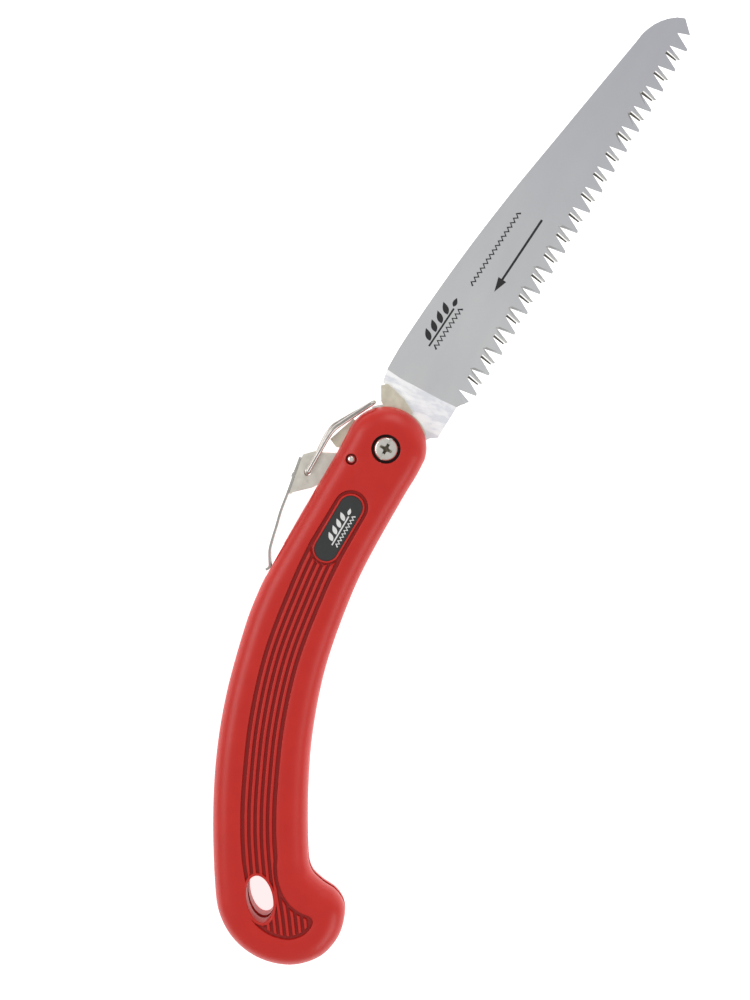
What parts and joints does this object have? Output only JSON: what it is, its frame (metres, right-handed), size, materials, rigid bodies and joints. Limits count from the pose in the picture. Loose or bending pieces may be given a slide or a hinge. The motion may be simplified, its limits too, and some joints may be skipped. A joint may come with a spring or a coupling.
{
  "type": "folding pruning saw",
  "caption": "Folding pruning saw with a long curved red handle, hanging hole, coarse-toothed steel blade and a wire-bail lock on the back.",
  "frame": {"origin": "centre of the open saw's footprint, on the flat outer face of the back shell that it lies on", "axes": "+X along the open saw from the handle's butt to the blade tip, +Y towards the lock lever on the convex side, +Z through the handle's thickness towards the front shell"},
  "size_m": [0.4422, 0.0961, 0.02],
  "materials": {
    "shell_red": "semi-gloss moulded plastic",
    "frame_sheet": "plain rolled sheet, faintly warm",
    "blade_steel": "satin plated, bare bright tang",
    "bright_steel": "bright nickel plate",
    "spring_steel": "plain spring steel",
    "lever_sheet": "nickel plated sheet",
    "wire_steel": "nickel plated wire",
    "leaf_steel": "bright spring strip",
    "badge_plastic": "charcoal inlay with a white leaf mark"
  },
  "bodies": {
    "handle": {"handle_shell_front": "shell_red", "handle_shell_back": "shell_red", "steel_frame": "frame_sheet", "pivot_screw": "bright_steel", "spring_washer": "spring_steel", "pivot_bush": "spring_steel", "thrust_washer_front": "spring_steel", "thrust_washer_back": "spring_steel", "pivot_nut": "bright_steel", "lever_pin": "bright_steel", "badge_front": "badge_plastic", "badge_back": "badge_plastic", "frame_screws": "bright_steel", "grip_screws": "bright_steel", "ear_spacers": "spring_steel"},
    "blade": {"saw_blade": "blade_steel"},
    "lever": {"lock_lever": "lever_sheet", "lock_wire": "wire_steel", "leaf_spring": "leaf_steel", "leaf_rivet": "bright_steel"}
  },
  "joints": [
    {"name": "blade_fold", "type": "hinge", "parent": "handle", "child": "blade", "pos_m": [0.0054, 0.0149, 0.01], "axis": [0, 0, 1], "range_deg": [-156.5, 0]},
    {"name": "lever_press", "type": "hinge", "parent": "handle", "child": "lever", "pos_m": [-0.00435, 0.02685, 0.01], "axis": [0, 0, 1], "range_deg": [0, 6], "stiffness_Nm_per_rad": 2.5, "springref_deg": -5.73}
  ]
}
